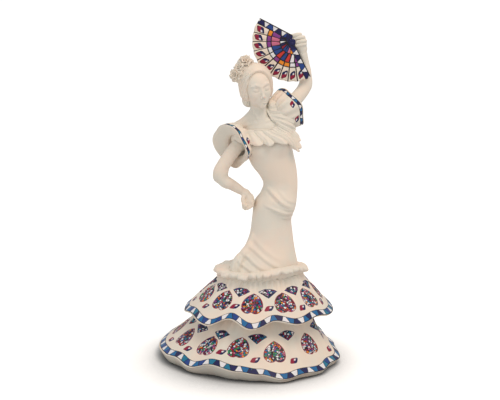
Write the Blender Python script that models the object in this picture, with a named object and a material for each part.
"""Hollow-cast porcelain dancer figurine, as the separate castings that are luted together before firing.

Millimetres inside the functions, metres in the scene. +Z is up and the dancer faces -Y, so +X is the
dancer's left. The origin is on the table, in the middle of the flat base. "right" and "left" in a name
are the dancer's own.
"""
import math

import bmesh
import bpy
import numpy as np
from mathutils import Matrix, Vector

MM = 0.001

# Driving dimensions.
SEAM = 0.35             # luting seam between two castings
WALL = 3.2              # wall of the slip-cast hollow pieces
SEAT_RADIUS = 66.0      # rebate inside the flat foot, which takes the base plate
SEAT_HEIGHT = 4.2
VENT_PLACE = 24.0       # the firing vent in the base plate, towards +X
VENT_RADIUS = 4.5
HEM_DEPTH = 2.4         # height of a hem's rim
HEM_TUCK = 0.5          # the foot is this far inside the lower hem,
TUCK_SLOPE = 0.5        # and this much further for each millimetre the hem is above the table
HEADING_RADIUS = 37.5   # mean radius of the gathered heading,
HEADING_PLACE = 9.6     # its centre towards +X,
HEADING_LIFT = 4.8      # how far it is pushed up at its highest point,
HEADING_PEAK = 38.0     # and the angle from -Y of that point
GATHERS = 20
WAIST_HEIGHT = 149.0    # seam between gown and bodice
NECK_HEIGHT = 213.5     # seam between neck and head
HEAD_CENTRE = (5.5, -1.0, 232.0)
HEAD_ROLL = math.radians(-9)
HEAD_YAW = math.radians(20)
HEAD_PITCH = math.radians(7)
FAN_PIVOT = (35.6, 12.0, 268.1)
FAN_RADIUS = 32.8
FAN_THICKNESS = 1.4
FAN_START = math.radians(152.5)  # direction of the first pleat, anticlockwise from +X
FAN_SWEEP = math.radians(144.5)  # opening angle
FAN_GUARD = 4.2         # width of the flat outer stick beside the first pleat
FAN_PLEATS = 11
STUB = 4.0              # tail of the fan inside the fist

BISQUE = ("bisque", (0.86, 0.80, 0.72), 0.65)
DECAL_PRINT = ("decorated_bisque", (0.80, 0.76, 0.74), 0.5)
FAN_PRINT = ("decorated_fan", (0.35, 0.30, 0.48), 0.45)

# Where each hem turns, up or down: angle in degrees from -Y towards +X, radius, height of its lower edge.
LOWER_HEM = [
    (-90, 79.5, 6.5), (-68, 79.0, 7.5), (-55, 76.5, 8.5), (-42, 77.5, 5.5), (-26, 75.5, 10.5),
    (-8, 79.0, 8.0), (5, 81.0, 6.4), (19, 86.0, 2.8), (31, 83.5, 4.0), (44, 84.5, 3.0),
    (56, 81.0, 4.6), (66, 81.0, 3.4), (88, 72.0, 7.0), (108, 70.2, 6.0), (128, 73.5, 9.5),
    (147, 79.0, 6.0), (165, 77.5, 10.0),
    (183, 80.0, 6.0), (202, 77.0, 10.0), (222, 80.0, 6.0), (240, 77.5, 9.5), (256, 79.5, 6.5),
]
UPPER_HEM = [
    (-90, 65.0, 38.0), (-68, 62.5, 41.0), (-43, 66.5, 38.8), (-24, 61.0, 46.0), (-6, 66.5, 40.2),
    (12, 61.5, 45.5), (30, 66.0, 42.0), (50, 62.5, 43.5), (70, 64.5, 40.5), (90, 63.5, 39.5),
    (110, 61.0, 43.0), (130, 65.5, 39.0), (150, 61.5, 44.0), (170, 66.0, 39.0), (190, 61.5, 44.0),
    (210, 66.0, 39.0), (229, 61.5, 44.0), (249, 65.5, 39.0),
]
# Outer walls of the flounces, from the top down: centre x, radius, height, share of the hem's waves.
LOWER_WALL = [(8.0, 42.0, 52.0, 0.0), (5.6, 47.5, 40.0, 0.1), (3.6, 55.5, 27.5, 0.5), (1.2, 67.5, 15.5, 0.85)]
UPPER_WALL = [(9.6, 35.0, 69.5, 0.0), (9.4, 38.6, 64.5, 0.05), (9.0, 46.6, 56.5, 0.3), (8.3, 55.8, 48.0, 0.7)]
# Half-widths of the figure in the gown and the bodice: height, centre x, centre y, across, deep, tilt.
GOWN_STATIONS = [
    (69.5 + SEAM, 10.6, 0.0, 31.0, 30.0, 0),
    (74.0, 11.8, 0.0, 30.0, 28.5, 0),
    (81.0, 13.8, 0.0, 27.0, 25.5, 0),
    (93.0, 16.5, 0.3, 21.8, 20.5, 0),
    (106.0, 18.2, 0.8, 18.3, 17.5, 0),
    (120.0, 18.6, 1.5, 16.8, 16.6, 0),
    (133.0, 21.7, 1.8, 17.6, 15.8, 0),
    (141.0, 24.4, 1.2, 15.8, 12.6, 0),
    (WAIST_HEIGHT - SEAM, 25.8, 0.5, 14.6, 10.8, 0),
]
BODICE_STATIONS = [
    (WAIST_HEIGHT, 25.8, 0.5, 14.6, 10.8, 0),
    (156.0, 24.2, 0.2, 15.9, 11.4, 0),
    (165.0, 20.4, -0.3, 18.6, 12.4, 2),
    (175.0, 17.0, -1.0, 19.8, 13.4, 5),
    (184.0, 14.0, -0.6, 21.0, 12.4, 10),
    (191.5, 12.2, 0.2, 22.0, 10.6, 15),
    (197.5, 11.0, 0.8, 17.0, 9.4, 17),
    (203.0, 9.6, 1.0, 9.6, 7.8, 12),
    (208.0, 8.6, 0.8, 6.9, 6.8, 4),
    (NECK_HEIGHT, 7.6, 0.6, 6.5, 6.6, 0),
]
# Centre lines and radii of the arms, shoulder to wrist.
ARM_RIGHT = [
    ((-5.0, -0.5, 186.5), 6.3), ((-12.5, -4.5, 178.5), 6.1), ((-21.0, -6.5, 167.5), 5.8),
    ((-25.8, -7.0, 159.8), 5.9), ((-23.2, -6.5, 152.6), 5.3), ((-15.0, -5.0, 147.2), 4.7),
    ((-6.8, -3.0, 141.4), 3.6),
]
ARM_LEFT = [
    ((26.0, 2.5, 207.0), 6.4), ((35.0, 9.5, 216.5), 6.0), ((43.2, 16.2, 224.6), 5.6),
    ((47.4, 19.2, 231.0), 5.6), ((47.3, 19.6, 238.0), 5.1), ((45.8, 18.4, 248.5), 4.3),
    ((43.8, 16.0, 259.6), 3.4),
]


def clear_scene():
    for old in list(bpy.data.objects):
        bpy.data.objects.remove(old, do_unlink=True)


def material(spec):
    """The Principled material named in spec = (name, colour, roughness), made once."""
    name, colour, roughness = spec
    found = bpy.data.materials.get(name)
    if found:
        return found
    made = bpy.data.materials.new(name)
    made.use_nodes = True
    shader = made.node_tree.nodes["Principled BSDF"]
    shader.inputs["Base Color"].default_value = (*colour, 1)
    shader.inputs["Roughness"].default_value = roughness
    shader.inputs["Metallic"].default_value = 0.0
    return made


def add_object(name, points, faces, spec=BISQUE):
    """A closed mesh object from points in millimetres, its faces turned outwards."""
    mesh = bpy.data.meshes.new(name)
    mesh.from_pydata([tuple(float(c) * MM for c in p) for p in points], [], faces)
    shape = bmesh.new()
    shape.from_mesh(mesh)
    bmesh.ops.recalc_face_normals(shape, faces=shape.faces)
    shape.to_mesh(mesh)
    shape.free()
    mesh.materials.append(material(spec))
    obj = bpy.data.objects.new(name, mesh)
    bpy.context.scene.collection.objects.link(obj)
    smooth(obj)
    return obj


def smooth(obj):
    obj.data.shade_smooth()
    obj.data.set_sharp_from_angle(angle=math.radians(45))


def loft(name, rings, spec=BISQUE, looped=False):
    """Joins rings of equal length into one closed solid. looped joins the last ring to the first, and
    otherwise both ends get a cap."""
    count = len(rings[0])
    points = [p for ring in rings for p in ring]
    rows = len(rings)
    faces = []
    for i in range(rows if looped else rows - 1):
        low, high = i * count, ((i + 1) % rows) * count
        for j in range(count):
            k = (j + 1) % count
            faces.append((low + j, low + k, high + k, high + j))
    if not looped:
        faces.append(tuple(range(count)))
        faces.append(tuple(range((rows - 1) * count, rows * count)))
    return add_object(name, points, faces, spec)


def body_ring(station, count, inset=0.0):
    """An elliptical ring across the figure, tilted about Y so that +X rises with a positive tilt."""
    height, cx, cy, across, deep, tilt = station
    lean = math.radians(tilt)
    ring = []
    for j in range(count):
        turn = 2 * math.pi * j / count
        x = (across - inset) * math.cos(turn)
        y = (deep - inset) * math.sin(turn)
        ring.append((cx + x * math.cos(lean), cy + y, height + x * math.sin(lean)))
    return ring


def sweep_rings(path, sides):
    """Round rings along a path of (point, radius), square to it, with no twist."""
    centres = [Vector(p) for p, _ in path]
    side = None
    rings = []
    for i, (centre, radius) in enumerate(path):
        ahead = centres[min(i + 1, len(path) - 1)] - centres[max(i - 1, 0)]
        ahead.normalize()
        side = (Vector((0.3, 1, 0.2)) if side is None else side)
        side = (side - ahead * side.dot(ahead)).normalized()
        up = ahead.cross(side)
        turns = [2 * math.pi * j / sides for j in range(sides)]
        rings.append([centres[i] + (side * math.cos(t) + up * math.sin(t)) * radius for t in turns])
    return rings


def refined(path, steps):
    """The path with extra points on a Catmull-Rom curve through its own."""
    known = [np.array([*p, r], float) for p, r in path]
    known = [2 * known[0] - known[1]] + known + [2 * known[-1] - known[-2]]
    found = []
    for i in range(1, len(known) - 2):
        before, start, end, after = known[i - 1:i + 3]
        for s in range(steps):
            t = s / steps
            found.append(0.5 * (2 * start + (end - before) * t
                                + (2 * before - 5 * start + 4 * end - after) * t ** 2
                                + (3 * start - before - 3 * end + after) * t ** 3))
    found.append(known[-2])
    return [(tuple(v[:3]), float(v[3])) for v in found]


def tube(name, path, sides=12, steps=2, spec=BISQUE):
    return loft(name, sweep_rings(refined(path, steps), sides), spec)


def ball(name, centre, radii, turn=None, detail=2):
    """An ellipsoid, turned by a rotation matrix."""
    shape = bmesh.new()
    bmesh.ops.create_icosphere(shape, subdivisions=detail, radius=1.0)
    points = []
    for v in shape.verts:
        p = Vector((v.co[k] * radii[k] for k in range(3)))
        points.append((turn @ p if turn else p) + Vector(centre))
    faces = [tuple(v.index for v in f.verts) for f in shape.faces]
    shape.free()
    return add_object(name, points, faces)


def evaluated_mesh(obj):
    bpy.context.view_layer.update()
    graph = bpy.context.evaluated_depsgraph_get()
    return bpy.data.meshes.new_from_object(obj.evaluated_get(graph), depsgraph=graph)


def bake(obj):
    """Replaces the object's mesh with the one its modifiers make."""
    mesh = evaluated_mesh(obj)
    obj.modifiers.clear()
    obj.data = mesh
    smooth(obj)
    return obj


def fuse(name, pieces, voxel, keep=1.0, rounds=2, spec=BISQUE):
    """One casting from overlapping solids: their union, softened where they meet."""
    shape = bmesh.new()
    for piece in pieces:
        shape.from_mesh(piece.data)
    mesh = bpy.data.meshes.new(name)
    shape.to_mesh(mesh)
    shape.free()
    for piece in pieces:
        bpy.data.objects.remove(piece, do_unlink=True)
    mesh.materials.append(material(spec))
    obj = bpy.data.objects.new(name, mesh)
    bpy.context.scene.collection.objects.link(obj)
    joined = obj.modifiers.new("union", "REMESH")
    joined.mode = "VOXEL"
    joined.voxel_size = voxel * MM
    soft = obj.modifiers.new("soften", "SMOOTH")
    soft.factor, soft.iterations = 0.5, rounds
    if keep < 1.0:
        fewer = obj.modifiers.new("fewer_faces", "DECIMATE")
        fewer.ratio = keep
    return bake(obj)


def largest_body(obj):
    """Drops the crumbs that a cut leaves beside the main body."""
    shape = bmesh.new()
    shape.from_mesh(obj.data)
    left = set(shape.verts)
    bodies = []
    while left:
        stack = [left.pop()]
        body = set(stack)
        while stack:
            for edge in stack.pop().link_edges:
                for v in edge.verts:
                    if v in left:
                        left.discard(v)
                        body.add(v)
                        stack.append(v)
        bodies.append(body)
    bodies.sort(key=len)
    bmesh.ops.delete(shape, geom=[v for body in bodies[:-1] for v in body], context="VERTS")
    shape.to_mesh(obj.data)
    shape.free()


def carve(obj, *neighbours, gap=SEAM, solver="EXACT"):
    """Cuts each neighbour, grown by the seam, out of obj. MANIFOLD is for cuts with the thin frills and the
    pleated fan, where EXACT loses the solid."""
    for neighbour in neighbours:
        mesh = evaluated_mesh(neighbour)
        grown = [v.co + v.normal * gap * MM for v in mesh.vertices]
        for v, place in zip(mesh.vertices, grown):
            v.co = place
        cutter = bpy.data.objects.new("cutter", mesh)
        cutter.hide_render = True
        cutter.display_type = "WIRE"
        bpy.context.scene.collection.objects.link(cutter)
        cut = obj.modifiers.new("cut", "BOOLEAN")
        cut.operation, cut.solver, cut.object = "DIFFERENCE", solver, cutter
        bake(obj)
        bpy.data.objects.remove(cutter, do_unlink=True)
    largest_body(obj)
    return obj


def hem_at(hem, angle):
    """Radius and height of a hem at an angle from -Y towards +X. The hem runs level at each of its points."""
    first = hem[0][0]
    turned = (math.degrees(angle) - first) % 360 + first
    following = hem[1:] + [(first + 360, *hem[0][1:])]
    for (start, low_r, low_z), (end, high_r, high_z) in zip(hem, following):
        if turned <= end:
            break
    share = (1 - math.cos(math.pi * (turned - start) / (end - start))) / 2
    return low_r + (high_r - low_r) * share, low_z + (high_z - low_z) * share


def hem_mean(hem):
    return [sum(point[k] for point in hem) / len(hem) for k in (1, 2)]


def circle(centre_x, radius, height, count=60):
    """Points round a level circle, from -Y towards +X."""
    turns = [2 * math.pi * j / count for j in range(count)]
    return [(centre_x + radius * math.sin(t), -radius * math.cos(t), height) for t in turns]


def flounce_ring(hem, centre_x, radius, height, share, count=60):
    """A ring of a flounce. share says how much of the hem's waves it takes: 0 none, 1 all."""
    mean_radius, mean_height = hem_mean(hem)
    ring = []
    for j in range(count):
        angle = 2 * math.pi * j / count
        hem_radius, hem_height = hem_at(hem, angle)
        r = radius + share * (hem_radius - mean_radius)
        ring.append((centre_x + r * math.sin(angle), -r * math.cos(angle),
                     height + share * (hem_height - mean_height)))
    return ring


def foot_ring(hem, count=60):
    """Outline of the flat foot: the turned-under hem tucks in further where the hem is lifted."""
    ring = []
    for j in range(count):
        angle = 2 * math.pi * j / count
        hem_radius, hem_height = hem_at(hem, angle)
        r = hem_radius - HEM_TUCK - TUCK_SLOPE * hem_height
        ring.append((r * math.sin(angle), -r * math.cos(angle), 0.0))
    return ring


def skirt():
    """The lower flounce with its turned-under hem, the plate that closes it, the upper flounce and the
    gathered heading."""
    radius, height = hem_mean(LOWER_HEM)
    outer = LOWER_WALL + [(0.0, radius, height + HEM_DEPTH, 1.0), (0.0, radius, height, 1.0)]
    rings = [flounce_ring(LOWER_HEM, *row) for row in outer]
    rings.append(foot_ring(LOWER_HEM))
    inner = [(0.0, SEAT_RADIUS, 0.0), (0.0, SEAT_RADIUS, SEAT_HEIGHT), (0.0, SEAT_RADIUS - 2.4, SEAT_HEIGHT),
             (0.6, SEAT_RADIUS - 3.4, 12.0), (3.2, 52.5, 25.5), (5.6, 43.4, 38.5), (8.0, 38.0, 52.0)]
    rings += [circle(*row) for row in inner]
    loft("lower_flounce", rings, DECAL_PRINT, looped=True)

    plate_radius, plate_top = SEAT_RADIUS - SEAM, SEAT_HEIGHT - SEAM
    plate = [circle(VENT_PLACE, VENT_RADIUS, 0.0), circle(0.0, plate_radius, 0.0),
             circle(0.0, plate_radius, plate_top), circle(VENT_PLACE, VENT_RADIUS, plate_top)]
    loft("base_plate", plate, looped=True)

    radius, height = hem_mean(UPPER_HEM)
    outer = UPPER_WALL + [(7.6, radius, height + HEM_DEPTH, 1.0), (7.6, radius, height, 1.0)]
    rings = [flounce_ring(UPPER_HEM, *row) for row in outer]
    rings.append(flounce_ring(UPPER_HEM, 7.6, radius - WALL, height, 1.0))
    rings.append(flounce_ring(UPPER_HEM, 8.2, 52.4, 44.0, 0.3))
    inner = [(8.4, 47.4, 48.0), (8.6, 43.8, 52.5), (8.8, 32.0, 56.5), (10.6, 27.8, 69.5)]
    rings += [circle(*row) for row in inner]
    upper = loft("upper_flounce", rings, DECAL_PRINT, looped=True)

    profile = [(-5.9, 70.0, 0), (-3.0, 70.0, 0.2), (0.0, 71.6, 0.7), (1.6, 74.4, 1.2), (1.2, 77.6, 1.2),
               (-2.0, 78.8, 0.8), (-7.0, 78.2, 0)]
    heading = loft("flounce_heading", [heading_ring(*row) for row in profile], looped=True)
    return upper, heading


def heading_ring(proud, height, swing, count=80):
    """A ring of the gathered heading, proud of its mean radius, with swing deep gathers."""
    ring = []
    for j in range(count):
        angle = 2 * math.pi * j / count
        lift = HEADING_LIFT * ((1 + math.cos(angle - math.radians(HEADING_PEAK))) / 2) ** 5
        wave = swing * math.cos(GATHERS * angle)
        r = HEADING_RADIUS + proud + wave
        ring.append((HEADING_PLACE + r * math.sin(angle), -r * math.cos(angle),
                     height + swing * lift - 0.4 * wave))
    return ring


def figure(heading, upper):
    """The gown and the bodice, hollow and open into each other."""
    count = 36
    inner = [body_ring(s, count, WALL) for s in GOWN_STATIONS]
    outer = [body_ring(s, count) for s in GOWN_STATIONS]
    gown = loft("gown", outer + inner[::-1], looped=True)
    carve(gown, heading, upper)

    hollow = [body_ring(s, count, WALL) for s in BODICE_STATIONS[:6]]
    skin = [body_ring(s, count) for s in BODICE_STATIONS]
    bodice = loft("bodice", hollow[::-1] + skin)
    return gown, bodice


def head_frame():
    turn = (Matrix.Rotation(HEAD_ROLL, 3, "Y") @ Matrix.Rotation(HEAD_YAW, 3, "Z")
            @ Matrix.Rotation(HEAD_PITCH, 3, "X"))
    return turn, Vector(HEAD_CENTRE)


def head_ball(name, centre, radii, detail=2):
    """An ellipsoid placed in the head's own frame: +x the dancer's left, -y the way the face looks."""
    turn, origin = head_frame()
    return ball(name, turn @ Vector(centre) + origin, radii, turn, detail)


def flower(name, centre, facing, radius, petals):
    """A carnation: a stack of frilled cups on a short calyx."""
    axis = Vector(facing).normalized()
    side = axis.orthogonal().normalized()
    up = axis.cross(side)
    count = petals * 4
    profile = [(0.25, -0.45), (0.55, -0.35), (1.0, 0.05), (0.92, 0.25), (0.62, 0.15), (0.62, 0.42),
               (0.50, 0.52), (0.30, 0.34)]
    rings = []
    for row, (out, along) in enumerate(profile):
        ring = []
        for j in range(count):
            t = 2 * math.pi * j / count
            frill = 1 + (0.16 if row > 1 else 0.05) * math.cos(petals * t + row)
            p = Vector(centre) + (side * math.cos(t) + up * math.sin(t)) * radius * out * frill
            ring.append(p + axis * radius * (along + 0.1 * out * math.sin(petals * t + row)))
        rings.append(ring)
    return loft(name, rings)


def head_group(bodice, leaf):
    turn, origin = head_frame()
    head = fuse("head", [
        head_ball("cranium", (0, 1.8, 3.6), (11.4, 13.4, 12.2)),
        head_ball("face", (0, -4.2, -3.0), (9.6, 8.2, 12.0)),
        head_ball("jaw", (0, -4.6, -10.2), (6.4, 6.6, 6.2)),
        head_ball("nose", (0, -12.6, -3.4), (1.5, 1.7, 3.0), 1),
        head_ball("nape", (0.0, 3.2, -10.5), (6.2, 6.2, 9.5)),
    ], 1.1, keep=0.2)
    slab = loft("slab", [body_ring((z, 7.6, 0.6, 30, 30, 0), 24) for z in (190.0, NECK_HEIGHT)])
    carve(head, slab)
    bpy.data.objects.remove(slab, do_unlink=True)
    carve(head, bodice)

    hair = fuse("hair", [
        head_ball("crown", (0, 2.6, 4.6), (14.6, 15.4, 13.6), 3),
        head_ball("right_wing", (-9.5, 0.5, -4.0), (4.8, 8.5, 8.5)),
        head_ball("left_wing", (9.5, 0.5, -4.0), (4.8, 8.5, 8.5)),
        head_ball("back", (0, 8.0, -6.0), (10.5, 7.5, 9.0)),
    ], 1.4, keep=0.15)
    opening = head_ball("opening", (0, -17.5, -6.0), (10.4, 15.0, 15.4), 3)
    carve(hair, opening, gap=0)
    bpy.data.objects.remove(opening, do_unlink=True)
    carve(hair, head, bodice, leaf)

    chignon = fuse("chignon", [
        head_ball("roll", (-3.2, 12.6, -13.2), (7.8, 6.2, 6.4)),
        head_ball("coil", (-4.6, 12.4, -13.6), (6.2, 7.4, 5.4)),
    ], 0.9, keep=0.3)
    carve(chignon, hair, head, bodice, solver="MANIFOLD")

    blooms = []
    for name, place, facing, radius, petals in (
            ("flower_crown", (-7.2, 4.8, 21.6), (-0.3, -0.5, 1.0), 5.6, 7),
            ("flower_bud", (-13.4, 4.0, 17.6), (-0.8, -0.5, 0.8), 4.0, 6),
            ("flower_temple", (-17.4, 2.2, 11.4), (-1.0, -0.6, 0.35), 5.6, 7)):
        bloom = flower(name, turn @ Vector(place) + origin, turn @ Vector(facing), radius, petals)
        carve(bloom, hair, *blooms)
        blooms.append(bloom)
    return head, hair, chignon


def sleeve(name, base, axis, length, base_radius, rim_radius, waves, bore):
    """A flared flounce sleeve: cone, rolled rim, dished underside, and a bore that takes the arm."""
    along = Vector(axis).normalized()
    side = (Vector((0, 0, 1)) - along * along.z).normalized()
    up = along.cross(side)
    profile = [(bore, 0.0, 0), (base_radius, 0.0, 0), (base_radius + 3.5, length * 0.35, 0.2),
               (rim_radius - 1.6, length * 0.8, 0.7), (rim_radius, length, 1.0),
               (rim_radius - 1.2, length + 1.0, 1.0), (rim_radius * 0.62, length * 0.82, 0.3),
               (bore, length * 0.7, 0)]
    rings = []
    for radius, height, share in profile:
        ring = []
        for j in range(36):
            t = 2 * math.pi * j / 36
            r = radius + share * 0.9 * math.cos(waves * t)
            ring.append(Vector(base) + along * (height + share * 0.5 * math.sin(waves * t))
                        + (side * math.cos(t) + up * math.sin(t)) * r)
        rings.append(ring)
    return loft(name, rings, DECAL_PRINT, looped=True)


def arms(bodice):
    """Both arms, which plug into their sleeves, and the sleeves that hide the shoulder seams. Returned as
    the right arm, the left arm, the right sleeve and the left sleeve."""
    arm_right = tube("arm_right", ARM_RIGHT)
    arm_left = tube("arm_left", ARM_LEFT)
    carve(arm_right, bodice)
    carve(arm_left, bodice)
    sleeve_right = sleeve("sleeve_right", (-7.2, 1.2, 184.8), (-0.72, -0.60, -0.35), length=13.0,
                          base_radius=11.5, rim_radius=17.5, waves=5, bore=4.5)
    sleeve_left = sleeve("sleeve_left", (22.5, 3.2, 207.6), (0.76, 0.50, 0.42), length=14.0,
                         base_radius=11.5, rim_radius=18.0, waves=5, bore=4.5)
    carve(sleeve_right, bodice, arm_right)
    carve(sleeve_left, bodice, arm_left)
    return arm_right, arm_left, sleeve_right, sleeve_left


def fan():
    """One cast plate, pleated in shallow steps, with a tail for the fist."""
    pivot = Vector(FAN_PIVOT)
    per_pleat = 4
    count = FAN_PLEATS * per_pleat
    columns = [(0.0, FAN_GUARD)] + [(j / count, 0.0) for j in range(count + 1)]
    front, back = [], []
    rows = (3.0, 12.0, 24.0, FAN_RADIUS)
    for radius in rows:
        for share, beside in columns:
            angle = FAN_START + FAN_SWEEP * share
            scallop = 0.5 * (radius / FAN_RADIUS) ** 3 * abs(math.sin(math.pi * FAN_PLEATS * share))
            fold = 0.35 * radius / FAN_RADIUS * math.cos(2 * math.pi * FAN_PLEATS * share)
            x = (radius + scallop) * math.cos(angle) + beside * math.sin(FAN_START)
            z = (radius + scallop) * math.sin(angle) - beside * math.cos(FAN_START)
            front.append(pivot + Vector((x, fold - FAN_THICKNESS / 2, z)))
            back.append(pivot + Vector((x, fold + FAN_THICKNESS / 2, z)))
    wide = len(columns)
    total = len(front)
    faces = []
    for i in range(len(rows) - 1):
        for j in range(wide - 1):
            a, b, c, d = i * wide + j, i * wide + j + 1, (i + 1) * wide + j + 1, (i + 1) * wide + j
            faces += [(a, b, c, d), (a + total, d + total, c + total, b + total)]
    last = wide - 1
    edge = list(range(wide))
    edge += [i * wide + last for i in range(1, len(rows))]
    edge += [(len(rows) - 1) * wide + j for j in range(last - 1, -1, -1)]
    edge += [i * wide for i in range(len(rows) - 2, 0, -1)]
    for k, a in enumerate(edge):
        b = edge[(k + 1) % len(edge)]
        faces.append((a, b, b + total, a + total))
    leaf = add_object("leaf", front + back, faces, FAN_PRINT)
    middle = FAN_START + FAN_SWEEP / 2
    inward = Vector((math.cos(middle), 0, math.sin(middle)))
    tail = tube("tail", [(tuple(pivot + inward * 6), 1.6), (tuple(pivot - inward * STUB), 1.6)], 8, 1)
    join = leaf.modifiers.new("tail", "BOOLEAN")
    join.operation, join.solver, join.object = "UNION", "EXACT", tail
    bake(leaf)
    bpy.data.objects.remove(tail, do_unlink=True)
    leaf.name = "fan"
    return leaf


def fist(name, wrist, centre, knuckles, across, size):
    """A closed hand: palm, four fingers curled round the grip axis and the thumb over them. knuckles
    points from the wrist to the knuckles, across runs from the little finger to the first finger."""
    ahead = Vector(knuckles).normalized()
    side = Vector(across)
    side = (side - ahead * side.dot(ahead)).normalized()
    palm_way = ahead.cross(side)
    middle = Vector(centre)
    turn = Matrix((ahead, side, palm_way)).transposed()
    pieces = [
        ball("palm", middle, (size * 0.52, size * 0.56, size * 0.34), turn),
        tube("heel", [(tuple(Vector(wrist)), size * 0.33), (tuple(middle), size * 0.42)], 10, 2),
    ]
    for k in range(4):
        root = middle + side * size * (0.42 - 0.28 * k) + ahead * size * 0.38
        bend = [root - palm_way * size * 0.1, root + ahead * size * 0.2 + palm_way * size * 0.15,
                root + ahead * size * 0.12 + palm_way * size * 0.48,
                root - ahead * size * 0.22 + palm_way * size * 0.5]
        pieces.append(tube("finger", [(tuple(p), size * 0.16) for p in bend], 8, 2))
    thumb = [middle - ahead * size * 0.25 + side * size * 0.42,
             middle + ahead * size * 0.05 + side * size * 0.6 + palm_way * size * 0.25,
             middle + ahead * size * 0.3 + side * size * 0.3 + palm_way * size * 0.6]
    pieces.append(tube("thumb", [(tuple(p), size * 0.17) for p in thumb], 8, 2))
    return fuse(name, pieces, 0.7, keep=0.16, rounds=1)


def hands(gown, bodice, arm_right, arm_left, leaf):
    hand_right = fist("hand_right", (-6.6, -3.0, 141.2), (-3.0, -2.6, 134.8),
                      knuckles=(0.15, 0.05, -1.0), across=(0.3, -1.0, 0.1), size=8.8)
    carve(hand_right, gown, bodice, arm_right)
    hand_left = fist("hand_left", (43.7, 15.5, 260.0), (42.4, 14.0, 267.0),
                     knuckles=(-0.5, -0.5, 0.9), across=(-0.2, 0.3, 1.0), size=8.8)
    carve(hand_left, arm_left, leaf, solver="MANIFOLD")


def frill(name, top, bottom, pleats, depth, thickness=2.6, steps=40):
    """A pleated strip between two curves of the same number of points. The pleats open towards the
    bottom edge."""
    def along(curve, share):
        spot = share * (len(curve) - 1)
        i = min(int(spot), len(curve) - 2)
        return Vector(curve[i]).lerp(Vector(curve[i + 1]), spot - i)

    centre = Vector((14, 0, 188))
    rows = 4
    rings = []
    for j in range(steps + 1):
        share = j / steps
        upper, lower = along(top, share), along(bottom, share)
        out = lower - centre
        out.normalize()
        wave = math.cos(2 * math.pi * pleats * share)
        front, back = [], []
        for i in range(rows + 1):
            t = i / rows
            spot = upper.lerp(lower, t) + out * (depth * t * wave + 2.2 * math.sin(math.pi * t * 0.8))
            front.append(spot + out * thickness / 2)
            back.append(spot - out * thickness / 2)
        rings.append(front + back[::-1])
    return fuse(name, [loft("strip", rings)], 0.8, keep=0.11, rounds=1)


def frills(*neighbours):
    """The bertha frill round the neckline, in four castings."""
    chest = frill("frill_chest",
                  [(-13.5, -3.0, 195.0), (-4.0, -8.6, 194.5), (8.0, -11.4, 193.5), (19.0, -10.8, 195.0),
                   (23.5, -9.4, 197.5)],
                  [(-9.0, -9.0, 187.5), (-1.0, -12.8, 185.5), (9.0, -15.0, 184.0), (20.0, -15.4, 182.5),
                   (27.0, -14.0, 182.5)],
                  5, 0.9)
    lower = frill("frill_left_lower",
                  [(22.0, -11.6, 189.0), (26.0, -10.4, 190.5), (30.5, -8.0, 194.5), (33.5, -4.0, 198.0)],
                  [(27.0, -15.0, 178.0), (37.0, -12.0, 173.5), (43.0, -8.0, 179.0), (42.0, -2.0, 186.0)],
                  4, 0.9, steps=32)
    upper = frill("frill_left_upper",
                  [(24.5, -9.6, 198.0), (21.5, -8.4, 203.5), (18.6, -6.0, 208.5), (17.4, -3.0, 213.0)],
                  [(36.0, -11.0, 193.0), (35.0, -9.5, 202.0), (32.0, -7.5, 211.0), (27.0, -4.0, 218.0)],
                  4, 0.8, steps=32)
    behind = frill("frill_back",
                   [(17.0, 4.0, 211.0), (14.0, 9.4, 205.0), (4.0, 11.0, 199.0), (-6.0, 9.4, 195.0),
                    (-13.0, 3.0, 193.5)],
                   [(27.0, 9.0, 202.0), (20.0, 15.0, 193.0), (6.0, 16.4, 186.0), (-7.0, 14.0, 183.0),
                    (-14.0, 7.0, 184.0)],
                   6, 0.9)
    made = []
    for piece in (chest, lower, upper, behind):
        carve(piece, *neighbours, *made, solver="MANIFOLD")
        made.append(piece)


def build():
    clear_scene()
    upper, heading = skirt()
    gown, bodice = figure(heading, upper)
    leaf = fan()
    head, hair, chignon = head_group(bodice, leaf)
    arm_right, arm_left, sleeve_right, sleeve_left = arms(bodice)
    hands(gown, bodice, arm_right, arm_left, leaf)
    frills(bodice, sleeve_right, sleeve_left, arm_left, head, hair, chignon)


build()
